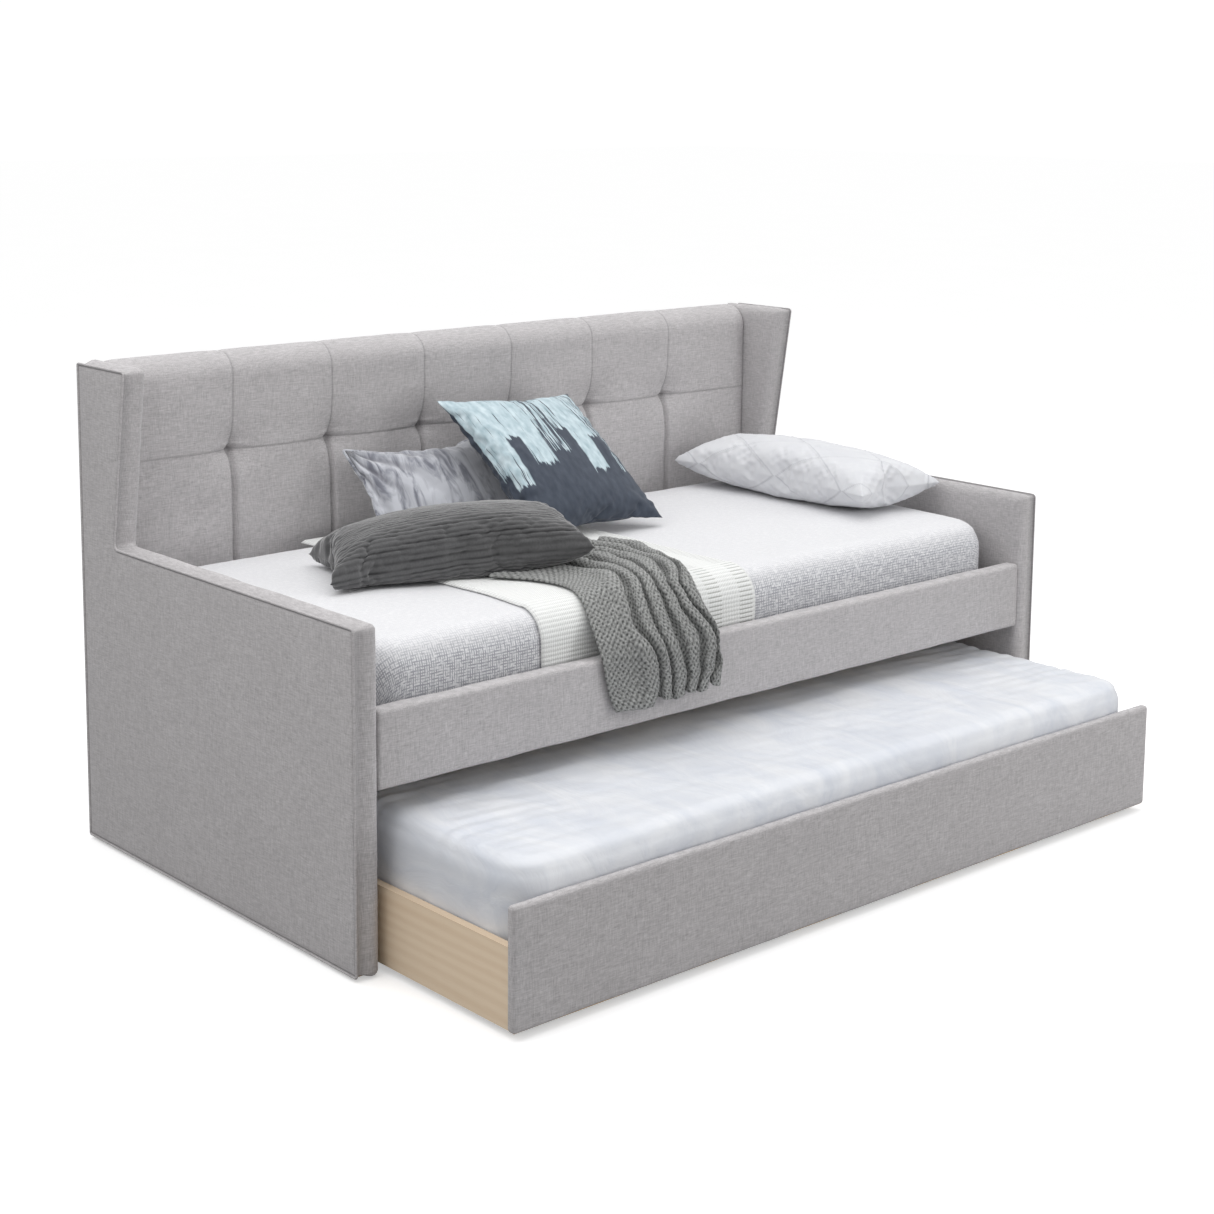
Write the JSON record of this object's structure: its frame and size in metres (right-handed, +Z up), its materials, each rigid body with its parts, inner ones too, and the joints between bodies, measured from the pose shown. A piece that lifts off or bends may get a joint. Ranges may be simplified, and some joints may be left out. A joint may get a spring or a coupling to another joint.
{
  "type": "trundle bed",
  "caption": "Upholstered daybed with a winged tufted back rest and low arms, and a roll-out trundle with its own mattress, dressed with bedding.",
  "frame": {"origin": "on the floor, at the centre of the overall footprint with the trundle pulled out 0.40 m", "axes": "+X along the bed, seen from the front to the right; +Y from the open front to the back rest; +Z up"},
  "size_m": [2.13, 1.47, 1.12],
  "materials": {
    "upholstery": "heathered flat weave, light warm grey",
    "plywood": "raw plywood and frame board",
    "pine": "clear-lacquered light softwood",
    "zinc_steel": "zinc plated",
    "brass_insert": "machined",
    "glide_plastic": "moulded",
    "webbing": "flat polyester band",
    "axle_steel": "turned",
    "wheel_plastic": "moulded nylon, soft tread",
    "mattress_ticking": "knitted ticking",
    "satin_sheet": "smooth satin weave, pale blue-grey",
    "coverlet_weave": "coarse cross-hatched linen, white and lavender grey",
    "runner_knit": "cream rib knit",
    "throw_knit": "chunky grey moss knit",
    "charcoal_corduroy": "wide-wale corduroy",
    "grey_velvet": "crushed velvet",
    "teal_print": "printed canvas, pale aqua brush strokes over slate",
    "white_pintuck": "smooth cotton with pin tucks"
  },
  "bodies": {
    "frame": {"left_side_frame": "plywood", "left_side_cover": "upholstery", "right_side_frame": "plywood", "right_side_cover": "upholstery", "back_frame": "plywood", "back_cover": "upholstery", "front_rail_board": "plywood", "front_rail_cover": "upholstery", "front_ledger": "pine", "back_ledger": "pine", "corner_brackets": "zinc_steel", "frame_bolts": "zinc_steel", "insert_nuts": "brass_insert", "floor_glides": "glide_plastic", "ledger_screws": "zinc_steel", "slat_webbing": "webbing", "slat_01": "pine", "slat_02": "pine", "slat_03": "pine", "slat_04": "pine", "slat_05": "pine", "slat_06": "pine", "slat_07": "pine", "slat_08": "pine", "slat_09": "pine", "slat_10": "pine"},
    "trundle": {"trundle_front_board": "plywood", "trundle_front_cover": "upholstery", "trundle_left_board": "pine", "trundle_right_board": "pine", "trundle_back_board": "pine", "trundle_front_ledger": "pine", "trundle_back_ledger": "pine", "trundle_brackets": "zinc_steel", "trundle_screws": "zinc_steel", "caster_brackets": "zinc_steel", "caster_axles": "axle_steel", "trundle_mattress": "mattress_ticking", "trundle_sheet": "satin_sheet", "trundle_slat_01": "pine", "trundle_slat_02": "pine", "trundle_slat_03": "pine", "trundle_slat_04": "pine", "trundle_slat_05": "pine", "trundle_slat_06": "pine", "trundle_slat_07": "pine", "trundle_slat_08": "pine", "trundle_slat_09": "pine"},
    "wheel_front_left": {"wheel_front_left": "wheel_plastic"},
    "wheel_front_right": {"wheel_front_right": "wheel_plastic"},
    "wheel_back_left": {"wheel_back_left": "wheel_plastic"},
    "wheel_back_right": {"wheel_back_right": "wheel_plastic"},
    "mattress": {"main_mattress": "mattress_ticking", "main_coverlet": "coverlet_weave"},
    "runner": {"knit_runner": "runner_knit"},
    "throw": {"knit_throw": "throw_knit"},
    "charcoal_cushion": {"charcoal_cushion": "charcoal_corduroy"},
    "grey_cushion": {"grey_cushion": "grey_velvet"},
    "teal_cushion": {"teal_cushion": "teal_print"},
    "white_pillow": {"white_pillow": "white_pintuck"}
  },
  "joints": [
    {"name": "trundle_roll", "type": "slide", "parent": "frame", "child": "trundle", "axis": [0, -1, 0], "range_m": [-0.4, 0.6]},
    {"name": "spin_front_left", "type": "hinge", "parent": "trundle", "child": "wheel_front_left", "pos_m": [-0.9, -0.685, 0.025], "axis": [1, 0, 0], "continuous": true},
    {"name": "spin_front_right", "type": "hinge", "parent": "trundle", "child": "wheel_front_right", "pos_m": [0.9, -0.685, 0.025], "axis": [1, 0, 0], "continuous": true},
    {"name": "spin_back_left", "type": "hinge", "parent": "trundle", "child": "wheel_back_left", "pos_m": [-0.9, 0.164, 0.025], "axis": [1, 0, 0], "continuous": true},
    {"name": "spin_back_right", "type": "hinge", "parent": "trundle", "child": "wheel_back_right", "pos_m": [0.9, 0.164, 0.025], "axis": [1, 0, 0], "continuous": true},
    {"name": "mattress_lift", "type": "slide", "parent": "frame", "child": "mattress", "axis": [0, 0, 1], "range_m": [0, 0.3]},
    {"name": "runner_lift", "type": "slide", "parent": "mattress", "child": "runner", "axis": [0, 0, 1], "range_m": [0, 0.2]},
    {"name": "throw_lift", "type": "slide", "parent": "runner", "child": "throw", "axis": [0, 0, 1], "range_m": [0, 0.2]},
    {"name": "charcoal_cushion_lift", "type": "slide", "parent": "throw", "child": "charcoal_cushion", "axis": [0, 0, 1], "range_m": [0, 0.2]},
    {"name": "grey_cushion_lift", "type": "slide", "parent": "runner", "child": "grey_cushion", "axis": [0, 0, 1], "range_m": [0, 0.2]},
    {"name": "teal_cushion_lift", "type": "slide", "parent": "grey_cushion", "child": "teal_cushion", "axis": [0, 0, 1], "range_m": [0, 0.2]},
    {"name": "white_pillow_lift", "type": "slide", "parent": "mattress", "child": "white_pillow", "axis": [0, 0, 1], "range_m": [0, 0.2]}
  ],
  "couplings": [
    {"joint": "spin_front_left", "follows": "trundle_roll", "rad_per_m": 40},
    {"joint": "spin_front_right", "follows": "trundle_roll", "rad_per_m": 40},
    {"joint": "spin_back_left", "follows": "trundle_roll", "rad_per_m": 40},
    {"joint": "spin_back_right", "follows": "trundle_roll", "rad_per_m": 40}
  ]
}
